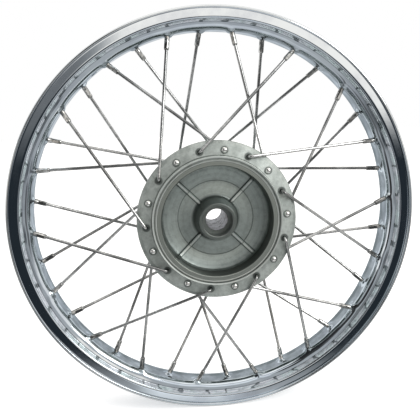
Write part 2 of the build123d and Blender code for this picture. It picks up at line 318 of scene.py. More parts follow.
@dataclass(frozen=True)
class ChromePlate(Finish):
    """Chrome over rolled steel: mirror smooth but for a pale matt sheen painted on its bead seats as their
    highlight, with painted shade in its bends and well, and painted reflections streaking its seats.
    """

    name: str = "chrome_plate"
    clean: Colour = (0.64, 0.71, 0.77)
    hazed: Colour = (0.55, 0.61, 0.68)
    curl: Colour = (0.76, 0.79, 0.80)
    # Pale colours of the bead seats' strip: a painted sheen that stands in for the seats' highlight.
    painted_sheen: tuple[Colour, Colour] = ((0.82, 0.85, 0.92), (0.74, 0.86, 0.88))
    # Near black: painted shade in the bends beside the bead seats, and painted reflections of the spokes
    # across them.
    painted_shade: Colour = (0.07, 0.09, 0.10)
    # Dark grey: painted shade on the well floor towards its bends, and random darker patches.
    shade_and_film: Colour = (0.30, 0.35, 0.37)
    edge: Colour = (0.66, 0.70, 0.74)
    gloss: float = 0.03
    haze: Clouds = Clouds(26, 4, 0.6, 0.42, 0.68)
    haze_roughness: float = 0.07
    fine: Clouds = Clouds(160, 3, low=0.25, high=0.4)
    ripple: float = 0.012 * MM
    # The bead seats' strip, with less metal and more roughness, where the painted sheen goes.
    seat: Strip = Strip(13.5, 14.9, 19.7, 21.1)
    seat_radius: Strip = Strip(224.6, 225.4, 227.6, 228.2)
    seat_matt: float = 0.55
    seat_roughness: float = 0.15
    milky_hue: Clouds = Clouds(45, 3, low=0.4, high=0.6)
    milky_patches: Clouds = Clouds(120, 3, 0.6, 0.42, 0.66, 0.6)
    # Dark lines in the bends beside the bead seats: painted shade.
    corners: tuple[Strip, ...] = (Strip(12.6, 13.2, 13.7, 14.3, 0.6), Strip(20.6, 21.2, 21.2, 21.8, 0.6))
    film_patches: Clouds = Clouds(70, 3, low=0.3, high=0.65, strength=0.6)
    # Painted shade on the well floor, growing towards its bends.
    well_shade_reach: Span = (5.0 * MM, 9.0 * MM)
    well_shade_share: float = 0.4
    well_radius: float = 219.5 * MM
    curl_start: Span = (22.4 * MM, 22.8 * MM)
    # Dark streaks across the bead seats: painted reflections of the spokes.
    streaks: int = 48
    streak_reach: Strip = Strip(13.1, 13.7, 20.3, 20.9, 0.8)
    streak_width: Span = (0.10, 0.04)
    streak_wander: tuple[Clouds, Clouds] = (Clouds(24, strength=1.5), Clouds(90, strength=0.6))
    painted_shade_share: float = 0.95

    def sockets(self, graph: Graph) -> Sockets:
        """The plating's sockets.

        Args:
            graph: the graph to build in.

        Returns:
            Numbers, colours or wires, by the shader's socket.
        """
        place, radius, y, turn = graph.on_wheel()
        along = y.size()
        haze = self.haze.mask(place)
        outward = self.seat_radius.mask(radius)
        seat = self.seat.mask(along) * outward
        # Painted shade on the well floor towards its bends, over random darker patches.
        shade_and_film = along.smooth(*self.well_shade_reach) * self.well_shade_share + self.film_patches.mask(place)
        shade_and_film = shade_and_film * radius.smooth(self.well_radius, self.well_radius - MM)
        painted_sheen = graph.blend(self.milky_hue.mask(place), *self.painted_sheen)
        painted_sheen = graph.blend(self.milky_patches.mask(place), painted_sheen, self.shade_and_film)
        colour = graph.blend(haze, self.clean, self.hazed)
        colour = graph.blend(shade_and_film, colour, self.shade_and_film)
        colour = graph.blend(along.smooth(*self.curl_start), colour, self.curl)
        # Painted sheen: the pale matt strip stands in for the bead seats' highlight.
        colour = graph.blend(seat, colour, painted_sheen)
        # Painted reflections of the spokes, streaking the bead seats.
        painted_shade = self._painted_streaks(place, turn) * self.streak_reach.mask(along) * outward
        # Painted shade in the bends beside the bead seats.
        painted_shade = painted_shade + sum(corner.mask(along) * outward for corner in self.corners)
        return {
            "Base Color": graph.blend(painted_shade.at_most(1.0) * self.painted_shade_share, colour, self.painted_shade),
            "Metallic": 1 - seat * self.seat_matt,
            "Specular Tint": (*self.edge, 1.0),
            "Roughness": haze * self.haze_roughness + self.gloss + seat * self.seat_roughness,
            "Normal": graph.bump(self.fine.at(place) * self.ripple),
        }

    def _painted_streaks(self, place: Wire, turn: Wire) -> Wire:
        """The dark streaks that cross the bead seats, wavering and broken: painted reflections of the
        spokes.

        Args:
            place: the object's coordinates.
            turn: the clock angle in radians.

        Returns:
            1 on a streak.
        """
        wander = sum(clouds.at(place) * clouds.strength for clouds in self.streak_wander)
        beside = ((turn * (self.streaks / TURN) + wander).fraction() - 0.5).size()
        return beside.smooth(*self.streak_width) * self.fine.mask(place)


@dataclass(frozen=True)
class Band:
    """A ring of a face that is turned slightly conical: its radii, and its rise outwards in degrees."""

    inside: float
    outside: float
    rise: float

    @property
    def slope(self) -> float:
        """The rise as a slope."""
        return math.tan(math.radians(self.rise))


@dataclass(frozen=True)
class HoleCircle:
    """A flange's spoke holes: their circle, the clock angle of one, and how far out the flange starts."""

    side: Side
    radius: float
    first: float
    inner_face: float
    count: int = 18


@dataclass(frozen=True)
class CastAluminium(Finish):
    """A cast hub: pale where it is turned, with painted highlights along its ribs, painted shade in its
    corners and round its raised centre, and a steel bore.
    """

    name: str = "cast_aluminium"
    pale: Colour = (0.60, 0.65, 0.625)
    dull: Colour = (0.38, 0.42, 0.40)
    inside: Colour = (0.455, 0.52, 0.50)
    # Very dark grey: painted shade on and round the raised centre, and the dark of the turning marks and
    # mottle.
    boss_shade_and_tone: Colour = (0.18, 0.205, 0.195)
    # Dark grey in the bearing's seat: painted shade in the recess.
    seat: Colour = (0.235, 0.26, 0.25)
    bore: Colour = (0.46, 0.47, 0.51)
    bore_stain: Colour = (0.05, 0.05, 0.06)
    # Near black: painted shade beside the ribs, at the lip's foot, in the step and groove and round the
    # spoke holes, and the liner's dark joint.
    painted_shade: Colour = (0.07, 0.085, 0.08)
    # Pale: a painted highlight along each rib's top, and the turned lip face's own pale finish.
    worn_and_highlight: Colour = (0.70, 0.75, 0.72)
    within: tuple[tuple[float, float, Colour], ...] = (
        (69 * MM, 68 * MM, inside),
        # Painted shade on and round the raised centre.
        (30.5 * MM, 27 * MM, boss_shade_and_tone),
        # Painted shade in the bearing's seat.
        (18.2 * MM, 17.9 * MM, seat),
        (13 * MM, 12.9 * MM, bore),
    )
    stained: Span = (13.9 * MM, 12.9 * MM)
    clouds: Clouds = Clouds(40, 4, 0.6, 0.35, 0.7)
    mottle: Clouds = Clouds(190, 4, 0.7, 0.42, 0.66)
    mottle_share: float = 0.25
    turned: Clouds = Clouds(900, low=0.45, high=0.75, strength=0.2)
    broad_turned: Clouds = Clouds(260, low=0.42, high=0.62, strength=0.12)
    turned_relief: float = 0.04 * MM
    grain: Clouds = Clouds(1400)
    grain_relief: float = 0.03 * MM
    web: Strip = Strip(27, 30, 66, 68)
    # Painted shade on the web, darker towards the drum's wall.
    shaded: Strip = Strip(48, 66, 67, 68, 0.45)
    roughness: float = 0.33
    clouds_roughness: float = 0.15
    flange: Span = (74.8 * MM, 75.8 * MM)
    flange_roughness: float = 0.2
    web_front: Span = (-16.5 * MM, -17.5 * MM)
    ribs: int = 4
    rib_angle: float = 45.0
    rib_reach: Strip = Strip(25, 27, 63, 65)
    # Painted highlight along each rib's top.
    rib_highlight: Span = (1.0 * MM, 0.5 * MM)
    # Painted shade along both feet of each rib.
    rib_foot_shade: Strip = Strip(1.6, 2.1, 2.7, 3.4)
    lip: Strip = Strip(70.0, 70.4, 76.0, 76.2)
    lip_edge: Span = (74.6 * MM, 75.0 * MM)
    lip_edge_share: float = 0.3
    lip_face: Span = (-41.7 * MM, -42.5 * MM)
    # Painted shade at the lip's foot on the flange.
    lip_foot_shade: Strip = Strip(75.4, 75.6, 76.3, 77.0)
    flange_face: Span = (-38.2 * MM, -37.6 * MM)
    # Dark lines: painted shade in the web's step at 45.2 mm and the lip's groove at 73.3 mm, and the
    # liner's dark joint at 69.6 mm.
    grooves: tuple[float, ...] = (45.2 * MM, 69.6 * MM, 73.3 * MM)
    groove_width: Span = (0.9 * MM, 0.3 * MM)
    groove_share: float = 0.7
    paint_share: float = 0.8
    circles: tuple[HoleCircle, ...] = (
        HoleCircle(Side.DRUM, 82.55 * MM, 3.0, 30 * MM),
        HoleCircle(Side.PLAIN, 62.7 * MM, 13.0, 37 * MM),
    )
    # Painted shadow round the spoke heads and holes.
    hole_shadow: Span = (5.4 * MM, 3.8 * MM)
    dish: Band = Band(40 * MM, 65 * MM, 27.0)
    bands: tuple[Band, ...] = (
        Band(28 * MM, 45 * MM, -5.0),
        Band(69.8 * MM, 73.3 * MM, 6.0),
        Band(73.3 * MM, 75.8 * MM, 20.0),
        Band(75.8 * MM, 95 * MM, -16.0),
    )

    def sockets(self, graph: Graph) -> Sockets:
        """The casting's sockets.

        Args:
            graph: the graph to build in.

        Returns:
            Numbers, colours or wires, by the shader's socket.
        """
        place, radius, y, turn = graph.on_wheel()
        line, mottle = graph.point(radius), self.mottle.mask(place)
        colour = graph.blend(self.clouds.mask(place), self.pale, self.dull)
        for start, full, paint in self.within:
            colour = graph.blend(radius.smooth(start, full), colour, paint)
        colour = graph.blend(radius.smooth(*self.stained) * mottle, colour, self.bore_stain)
        broad = self.broad_turned.mask(graph.point(radius, 0.5)) * self.web.mask(radius)
        shade = self.turned.mask(line) + broad + mottle * self.mottle_share
        # Painted shade on the web towards the drum's wall.
        shade = shade + self.shaded.mask(radius)
        colour = graph.blend(shade.at_most(1.0), colour, self.boss_shade_and_tone)
        front = y.smooth(*self.web_front)
        across = self._from_spoke(radius, turn, self.ribs, self.rib_angle).size()
        rib = self.rib_reach.mask(radius) * front
        edge = radius.smooth(*self.lip_edge) * self.lip_edge_share + (1 - self.lip_edge_share)
        edge = edge * self.lip.mask(radius) * y.smooth(*self.lip_face)
        # Painted highlight on the ribs' tops, and the lip face's own pale finish.
        bright = across.smooth(*self.rib_highlight) * rib + edge
        colour = graph.blend(bright * self.paint_share, colour, self.worn_and_highlight)
        # Painted shade beside the ribs, at the lip's foot, in the step and groove and round the spoke
        # holes, with the liner's dark joint.
        painted_shade_and_joint = self.rib_foot_shade.mask(across) * rib
        painted_shade_and_joint = painted_shade_and_joint + self.lip_foot_shade.mask(radius) * y.smooth(*self.flange_face)
        for groove in self.grooves:
            painted_shade_and_joint = painted_shade_and_joint + (radius - groove).size().smooth(*self.groove_width) * front * self.groove_share
        for circle in self.circles:
            painted_shade_and_joint = painted_shade_and_joint + self._round_holes(radius, turn, y * circle.side.value, circle)
        relief = self.turned.at(line) * self.turned_relief + self.grain.at(place) * self.grain_relief
        rough = self.clouds.at(place) * self.clouds_roughness
        return {
            "Base Color": graph.blend(painted_shade_and_joint.at_most(1.0) * self.paint_share, colour, self.painted_shade),
            "Metallic": 0.85,
            "Roughness": rough + self.roughness + radius.smooth(*self.flange) * self.flange_roughness,
            "Normal": graph.bump(self._crown(radius) + relief),
        }

    def _crown(self, radius: Wire) -> Wire:
        """How far the turned faces stand out, as cones and one hollow.

        Args:
            radius: the distance from the axle.

        Returns:
            The height in metres.
        """
        hollow = radius.past(self.dish.inside, self.dish.outside)
        hollow = hollow * hollow * (self.dish.slope / (2 * (self.dish.outside - self.dish.inside)))
        return sum((radius.past(band.inside, band.outside) * band.slope for band in self.bands), hollow)

    @staticmethod
    def _from_spoke(radius: Wire, turn: Wire, count: int, first: float) -> Wire:
        """How far a point is, sideways, from the nearest of a number of even radial lines."""
        cell = (turn * (count / TURN) - (first * count / 360 - 0.5)).fraction() - 0.5
        return cell * (TURN / count) * radius

    def _round_holes(self, radius: Wire, turn: Wire, outward: Wire, circle: HoleCircle) -> Wire:
        """Picks out the painted shadow round a flange's spoke holes.

        Args:
            radius: the distance from the axle.
            turn: the clock angle in radians.
            outward: how far out the point is, towards the flange's side.
            circle: the holes.

        Returns:
            1 on the painted shadow.
        """
        sideways = self._from_spoke(radius, turn, circle.count, circle.first)
        inward = radius - circle.radius
        distance = (sideways * sideways + inward * inward) ** 0.5
        return distance.smooth(*self.hole_shadow) * outward.smooth(circle.inner_face - MM, circle.inner_face)


@dataclass(frozen=True)
class DrumIron(Finish):
    """Turned iron: a pale face at the drum's mouth and a darker wall where the brake shoes rub, the wall's
    darkness being painted shade.
    """

    name: str = "bored_iron"
    face: Colour = (0.38, 0.42, 0.39)
    # Near black: painted shade on the drum's inner wall, and the dark of the turning marks.
    wall: Colour = (0.12, 0.13, 0.12)
    shaded_wall_radius: Span = (65.6 * MM, 65.3 * MM)
    turned: Clouds = Clouds(1100, 3, low=0.45, high=0.7, strength=0.4)
    roughness: float = 0.3
    turned_roughness: float = 0.2
    relief: float = 0.04 * MM

    def sockets(self, graph: Graph) -> Sockets:
        """The iron's sockets.

        Args:
            graph: the graph to build in.

        Returns:
            Numbers, colours or wires, by the shader's socket.
        """
        _, radius, y, _ = graph.on_wheel()
        line = graph.point(radius, y)
        turned = self.turned.at(line)
        colour = graph.blend(radius.smooth(*self.shaded_wall_radius), self.face, self.wall)
        return {
            "Base Color": graph.blend(self.turned.mask(line), colour, self.wall),
            "Metallic": 0.9,
            "Roughness": turned * self.turned_roughness + self.roughness,
            "Normal": graph.bump(turned * self.relief),
        }


@dataclass(frozen=True)
class PlainMetal(Finish):
    """A drawn or plated metal with fine streaks and patches of tarnish, bright past a given Y."""

    name: str
    colour: Colour = (0.74, 0.75, 0.74)
    shade: Colour = (0.50, 0.51, 0.51)
    roughness: float = 0.14
    tarnished: Clouds = Clouds(17, 2, 0.5, 0.40, 0.60, 0.7)
    tarnish: Colour = (0.12, 0.125, 0.125)
    edge: Colour = (0.15, 0.15, 0.15)
    streaks: Clouds = Clouds(300, 3, low=0.3, high=0.7)
    streaks_roughness: float = 0.12
    relief: float = 0.006 * MM
    polished: Span = (1.0, 1.0002)
    polish: Colour = (0.85, 0.86, 0.84)
    polish_gloss: float = 0.05

    def sockets(self, graph: Graph) -> Sockets:
        """The metal's sockets.

        Args:
            graph: the graph to build in.

        Returns:
            Numbers, colours or wires, by the shader's socket.
        """
        place, _, y, _ = graph.on_wheel()
        polished, streaks = y.size().smooth(*self.polished), self.streaks.at(place)
        colour = graph.blend(self.streaks.mask(place), self.colour, self.shade)
        colour = graph.blend(self.tarnished.mask(place), colour, self.tarnish)
        return {
            "Base Color": graph.blend(polished, colour, self.polish),
            "Metallic": 1.0,
            "Specular Tint": (*self.edge, 1.0),
            "Roughness": streaks * self.streaks_roughness + self.roughness - polished * self.polish_gloss,
            "Normal": graph.bump(streaks * self.relief),
        }


# --- Shapes -------------------------------------------------------------------------------


@dataclass(frozen=True)
class Corner:
    """A corner of an outline: how far from the axis, how far along it, and how it is rounded."""

    radius: float
    along: float
    bend: float = 0.0


@dataclass(frozen=True)
class Outline:
    """A closed outline beside an axis, which becomes a solid when it is spun about the axis."""

    corners: tuple[Corner, ...]
    arc_steps: int = 4
    longest: float = 1.0

    def spin(self, bm: BMesh, steps: int, place: Matrix = Matrix(), sectors: int = 1) -> list[BMVert]:
        """Spins the outline about local Y and puts the solid in its place.

        Args:
            bm: the mesh that the solid goes to.
            steps: how many sides the solid has.
            place: where its axis goes.
            sectors: how many equal sectors it is made of, which saves time on a fine solid.

        Returns:
            The solid's vertices.
        """
        before = set(bm.verts)
        self._draw(bm)
        turned = {"cent": (0, 0, 0), "axis": AXLE}
        wire = [vert for vert in bm.verts if vert not in before]
        edges = list({edge for vert in wire for edge in vert.link_edges})
        if sectors == 1:
            bmesh.ops.spin(bm, geom=wire + edges, angle=TURN, steps=steps, use_merge=True, **turned)
        else:
            bmesh.ops.spin(bm, geom=wire + edges, angle=TURN / sectors, steps=steps // sectors, **turned)
            sector = [vert for vert in bm.verts if vert not in before]
            faces = {face for vert in sector for face in vert.link_faces}
            edges = {edge for face in faces for edge in face.edges}
            geom, angle = [*sector, *edges, *faces], TURN - TURN / sectors
            bmesh.ops.spin(bm, geom=geom, angle=angle, steps=sectors - 1, use_duplicate=True, **turned)
        bmesh.ops.remove_doubles(bm, verts=[vert for vert in bm.verts if vert not in before], dist=WELD)
        solid = [vert for vert in bm.verts if vert not in before]
        bmesh.ops.transform(bm, matrix=place, verts=solid)
        return solid

    def _draw(self, bm: BMesh) -> None:
        """Draws the outline as edges, rounds its corners and divides its long stretches.

        Args:
            bm: the mesh that the edges go to.
        """
        verts = [bm.verts.new((corner.radius, corner.along, 0)) for corner in self.corners]
        for first, second in zip(verts, verts[1:] + verts[:1]):
            bm.edges.new((first, second))
        drawn = set(verts)
        for vert, corner in zip(verts, self.corners):
            if corner.bend:
                drawn.update(self._round(bm, vert, corner.bend))
        edges = {edge for vert in drawn if vert.is_valid for edge in vert.link_edges}
        for edge in edges:
            cuts = int(edge.calc_length() / self.longest)
            if cuts:
                bmesh.ops.bisect_edges(bm, edges=[edge], cuts=cuts)

    def _round(self, bm: BMesh, vert: BMVert, bend: float) -> list[BMVert]:
        """Rounds one corner.

        Args:
            bm: the mesh.
            vert: the corner.
            bend: the radius of its arc.

        Returns:
            The arc's vertices.
        """
        first, second = (edge.other_vert(vert).co - vert.co for edge in vert.link_edges)
        reach = bend / math.tan(first.angle(second) / 2)
        how = {"offset_type": "OFFSET", "profile": 0.5, "affect": "VERTICES", "material": -1}
        return bmesh.ops.bevel(bm, geom=[vert], offset=reach, segments=self.arc_steps, **how)["verts"]


def dome(radius: float, height: float, base: float, steps: int) -> list[Corner]:
    """A round cap's outline, from its edge to its top on the axis.

    Args:
        radius: the cap's radius at its edge.
        height: how high it rises, or falls where it is below zero.
        base: where its edge is along the axis.
        steps: how many stretches it has.

    Returns:
        The outline's corners.
    """
    ball = (radius**2 + height**2) / (2 * abs(height))
    edge_turn = math.asin(min(radius / ball, 1.0))
    way = math.copysign(1.0, height)
    corners = []
    for step in range(steps + 1):
        turn = edge_turn * (1 - step / steps)
        rise = ball * math.cos(turn) - (ball - abs(height))
        corners.append(Corner(ball * math.sin(turn), base + way * rise))
    return corners


def along_axis(origin: Vector, way: Vector) -> Matrix:
    """The place whose local Y points a given way."""
    return Matrix.Translation(origin) @ way.to_track_quat("Y", "Z").to_matrix().to_4x4()


def soft_higher(first: float, second: float, blend: float) -> float:
    """The higher of two numbers, blended where they are close."""
    return (first + second + math.hypot(first - second, blend)) / 2


def finish_mesh(mesh: bpy.types.Mesh) -> None:
    """Shades a mesh smooth, but for its creases."""
    mesh.polygons.foreach_set("use_smooth", [True] * len(mesh.polygons))
    mesh.set_sharp_from_angle(angle=CREASE)


def new_object(name: str, bm: BMesh) -> Object:
    """Turns a bmesh into an object at the origin.

    Args:
        name: the piece's name.
        bm: the finished shape, which is freed.

    Returns:
        The object, linked to the scene.
    """
    bmesh.ops.recalc_face_normals(bm, faces=bm.faces)
    mesh = bpy.data.meshes.new(name)
    bm.to_mesh(mesh)
    bm.free()
    finish_mesh(mesh)
    piece = bpy.data.objects.new(name, mesh)
    bpy.context.scene.collection.objects.link(piece)
    return piece


def fit(piece: Object, material: Material, nodes: Iterable[str]) -> None:
    """Gives a piece its finish and puts it on the wheel in place of the plain model's nodes.

    Args:
        piece: the piece.
        material: its finish.
        nodes: the nodes that it stands for.
    """
    piece.data.materials.append(material)
    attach(piece, "root")
    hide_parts(*nodes)
    LOG.info("%s: %d faces", piece.name, len(piece.data.polygons))


# --- Wheel --------------------------------------------------------------------------------


@dataclass(frozen=True)
class SpokeRun:
    """Where one spoke goes."""

    name: str
    head: Vector
    head_way: Vector
    elbow: Vector
    seat: Vector

    @property
    def nipple_place(self) -> Matrix:
        """The top of the rim's dimple, with local Y along the spoke towards the hub."""
        return along_axis(self.seat, (self.elbow - self.seat).normalized())


@dataclass(frozen=True)
class SpokeFamily:
    """Spokes that are alike: same flange, same face, same lean."""

    name: str
    side: Side
    leaves: Leaves
    first_rim_angle: float
    lean: int


@dataclass(frozen=True)
class Flange:
    """A flange's outer face, as a distance from the middle, and the radius of its circle of holes."""

    face: float
    circle: float


@dataclass(frozen=True)
class Lacing:
    """How the spokes cross from the hub's flanges to the two rows of dimples in the rim."""

    spokes: int = 36
    first_rim_angle: float = 3.0
    crossing_turn: float = 40.0
    seat_radius: float = 215.4 * MM
    row_offset: float = 4.6 * MM
    flange_wall: float = 6.0 * MM
    elbow_reach: float = 5.42 * MM
    drum_flange: Flange = Flange(37.0 * MM, 82.55 * MM)
    plain_flange: Flange = Flange(44.0 * MM, 62.7 * MM)

    @property
    def pitch(self) -> float:
        """The angle between neighbouring holes in the rim."""
        return 360 / self.spokes

    def families(self) -> list[SpokeFamily]:
        """The four families, in the order of their names in the plain model."""
        first, pitch = self.first_rim_angle, self.pitch
        return [
            SpokeFamily("drum_outer", Side.DRUM, Leaves.OUTER, first + 2 * pitch, 1),
            SpokeFamily("drum_inner", Side.DRUM, Leaves.INNER, first, -1),
            SpokeFamily("plain_outer", Side.PLAIN, Leaves.OUTER, first + pitch, 1),
            SpokeFamily("plain_inner", Side.PLAIN, Leaves.INNER, first + 3 * pitch, -1),
        ]

    @staticmethod
    def on_wheel(radius: float, degrees: float, along: float) -> Vector:
        """The point at a radius, a clock angle in degrees from X towards Z, and a place along the axle."""
        turn = math.radians(degrees)
        return Vector((radius * math.cos(turn), along, radius * math.sin(turn)))

    def runs(self, family: SpokeFamily) -> list[SpokeRun]:
        """Where a family's spokes go.

        Args:
            family: the family.

        Returns:
            One run for each spoke.
        """
        side = family.side.value
        flange = self.drum_flange if family.side is Side.DRUM else self.plain_flange
        outer, inner, circle = flange.face, flange.face - self.flange_wall, flange.circle
        leaves_outer = family.leaves is Leaves.OUTER
        head_face, wire_face = (inner, outer) if leaves_outer else (outer, inner)
        elbow_along = side * (wire_face + family.leaves.value * self.elbow_reach)
        runs = []
        for index in range(self.spokes // 4):
            rim_angle = family.first_rim_angle + index * 4 * self.pitch
            hub_angle = rim_angle + family.lean * self.crossing_turn
            runs.append(
                SpokeRun(
                    name=f"{family.name}_{index + 1}",
                    head=self.on_wheel(circle, hub_angle, side * head_face),
                    head_way=AXLE * (-side * family.leaves.value),
                    elbow=self.on_wheel(circle, hub_angle, elbow_along),
                    seat=self.on_wheel(self.seat_radius, rim_angle, side * self.row_offset),
                )
            )
        return runs

    def sector(self, point: Vector) -> int:
        """Which spoke's sector of the rim a point is in."""
        turn = math.degrees(math.atan2(point.z, point.x)) - self.first_rim_angle
        return round(turn / self.pitch) % self.spokes


@dataclass(frozen=True)
class Dimple:
    """The shape pressed into the rim round a nipple, as a cone with a flat top."""

    top_radius: float = 4.6 * MM
    reach: float = 9.0 * MM
    blend: float = 0.5 * MM
    pull: float = 0.7 * MM
    pull_reach: float = 17.0 * MM

    @property
    def recess_radius(self) -> float:
        """The flat's radius on the tyre side, where the nipple's head seats."""
        return self.top_radius + SHEET * (CONE_SLOPE - math.hypot(1, CONE_SLOPE))

    def press(self, vert: BMVert, place: Matrix, inverse: Matrix) -> None:
        """Pulls a vertex with the sheet, and onto the dimple where the dimple stands higher.

        Args:
            vert: the vertex, with its normal known.
            place: the dimple's place, with local Y towards the hub.
            inverse: the way back from it.
        """
        local = inverse @ vert.co
        up = place.to_3x3() @ AXLE
        distance = math.hypot(local.x, local.z)
        fade = max(0.0, 1 - (distance / self.pull_reach) ** 2)
        vert.co += up * (self.pull * fade**2)
        if distance > self.reach:
            return
        local = inverse @ vert.co
        flat, drop = (self.top_radius, 0.0) if vert.normal.dot(up) > 0 else (self.recess_radius, SHEET)
        cone = -max(distance - flat, 0.0) / CONE_SLOPE - drop
        if cone > local.y - 2 * self.blend:
            fade = min(1.0, (self.reach - distance) / self.blend)
            local.y += (soft_higher(local.y, cone, self.blend) - local.y) * fade
            vert.co = place @ local


@dataclass(frozen=True)
class WellSide:
    """One half of the rim's well: how far its floor reaches, its bend, and the bead seat's width."""

    floor: float
    bend: float
    seat_width: float


@dataclass(frozen=True)
class Rim:
    """The rolled steel rim: one sheet with a well, two bead seats and two lips that curl outwards."""

    bead_seat_radius: float = 228.6 * MM
    lip_height: float = 13.0 * MM
    inside_width: float = 40.5 * MM
    lip_flat: float = 0.4 * MM
    well_depth: float = 9.8 * MM
    near: WellSide = WellSide(9.0 * MM, 7.0 * MM, 7.0 * MM)
    far: WellSide = WellSide(15.0 * MM, 2.0 * MM, 3.4 * MM)
    seat_bend: float = 2.6 * MM
    wall_bend: float = 1.2 * MM
    curl_bend: float = 3.2 * MM
    edge_bend: float = 2.2 * MM
    valve_hole_radius: float = 4.2 * MM
    valve_angle: float = 128.0
    valve_sides: int = 48
    steps: int = 720
    cell: float = 1.3 * MM
    dimple: Dimple = Dimple()

    def build(self, finish: Material, lacing: Lacing) -> Object:
        """Spins the rim, presses its dimples and drills the valve's hole.

        Args:
            finish: the plating.
            lacing: where the spokes go.

        Returns:
            The rim.
        """
        bm = bmesh.new()
        self._section().spin(bm, self.steps, sectors=lacing.spokes)
        bmesh.ops.recalc_face_normals(bm, faces=bm.faces)
        bm.normal_update()
        self._press_dimples(bm, lacing)
        piece = new_object("rolled_rim", bm)
        self._drill_valve_hole(piece)
        fit(piece, finish, ["rim"])
        return piece

    def _section(self) -> Outline:
        """The sheet's outline: its tyre side, and its hub side one sheet further in."""
        near = [Corner(corner.radius, -corner.along, corner.bend) for corner in self._half(self.near)[::-1]]
        return Outline(tuple(self._half(self.far) + near), longest=self.cell)

    def _half(self, side: WellSide) -> list[Corner]:
        """One half of the sheet, from the middle of its well to the lip and back.

        Args:
            side: the half's own sizes.

        Returns:
            The half's corners.
        """
        half = self.inside_width / 2
        reach = half + self.curl_bend + self.lip_flat + self.edge_bend
        top = self.bead_seat_radius + self.lip_height
        well = self.bead_seat_radius - self.well_depth
        tyre_side = [
            Corner(well, side.floor, side.bend),
            Corner(self.bead_seat_radius, half - side.seat_width, self.seat_bend),
            Corner(self.bead_seat_radius, half, self.wall_bend),
            Corner(top, half, self.curl_bend),
            Corner(top, reach, self.edge_bend),
            Corner(top - self.edge_bend - self.lip_flat, reach),
        ]
        return tyre_side + self._one_sheet_in(tyre_side)[::-1]

    @staticmethod
    def _one_sheet_in(tyre_side: list[Corner]) -> list[Corner]:
        """The hub side of the sheet.

        Args:
            tyre_side: the tyre side's corners, from the well outwards.

        Returns:
            The hub side's corners, in the same order.
        """
        points = [Vector((corner.radius, corner.along)) for corner in tyre_side]
        points.insert(0, Vector((points[0].x, 0.0)))
        ways = [(second - first).normalized() for first, second in zip(points, points[1:])]
        normals = [Vector((-way.y, way.x)) for way in ways]
        normals.append(normals[-1])
        moved = []
        for index, corner in enumerate(tyre_side):
            before, after = normals[index], normals[index + 1]
            shift = (before + after) * (SHEET / (1 + before.dot(after)))
            inside = index + 1 < len(ways) and ways[index + 1].dot(before) > 0
            bend = corner.bend and corner.bend + (-SHEET if inside else SHEET)
            moved.append(Corner(corner.radius + shift.x, corner.along + shift.y, bend))
        return moved

    def _press_dimples(self, bm: BMesh, lacing: Lacing) -> None:
        """Presses a dimple for each nipple.

        Args:
            bm: the spun rim.
            lacing: where the spokes go.
        """
        top, half = self.bead_seat_radius + SEAM, self.inside_width / 2 - self.wall_bend
        sectors = [[] for _ in range(lacing.spokes)]
        for vert in bm.verts:
            if abs(vert.co.y) < half and math.hypot(vert.co.x, vert.co.z) < top:
                sectors[lacing.sector(vert.co)].append(vert)
        for run in (run for family in lacing.families() for run in lacing.runs(family)):
            place = run.nipple_place
            inverse = place.inverted()
            for vert in sectors[lacing.sector(run.seat)]:
                self.dimple.press(vert, place, inverse)

    def _drill_valve_hole(self, piece: Object) -> None:
        """Cuts the valve's hole through the middle of the well.

        Args:
            piece: the rim.
        """
        middle = Lacing.on_wheel(self.bead_seat_radius - self.well_depth, self.valve_angle, 0)
        drill = Matrix.Translation(middle) @ middle.to_track_quat("Z", "Y").to_matrix().to_4x4()
        ends = {"radius1": self.valve_hole_radius, "radius2": self.valve_hole_radius, "cap_ends": True}
        bm = bmesh.new()
        bmesh.ops.create_cone(bm, segments=self.valve_sides, depth=6 * SHEET, matrix=drill, **ends)
        cutter = new_object("valve_drill", bm)
        cut = piece.modifiers.new("valve_hole", "BOOLEAN")
        cut.operation = "DIFFERENCE"
        cut.solver = "EXACT"
        cut.object = cutter
        graph = bpy.context.evaluated_depsgraph_get()
        drilled = bpy.data.meshes.new_from_object(piece.evaluated_get(graph))
        piece.modifiers.clear()
        piece.data = drilled
        finish_mesh(drilled)
        bpy.data.objects.remove(cutter)


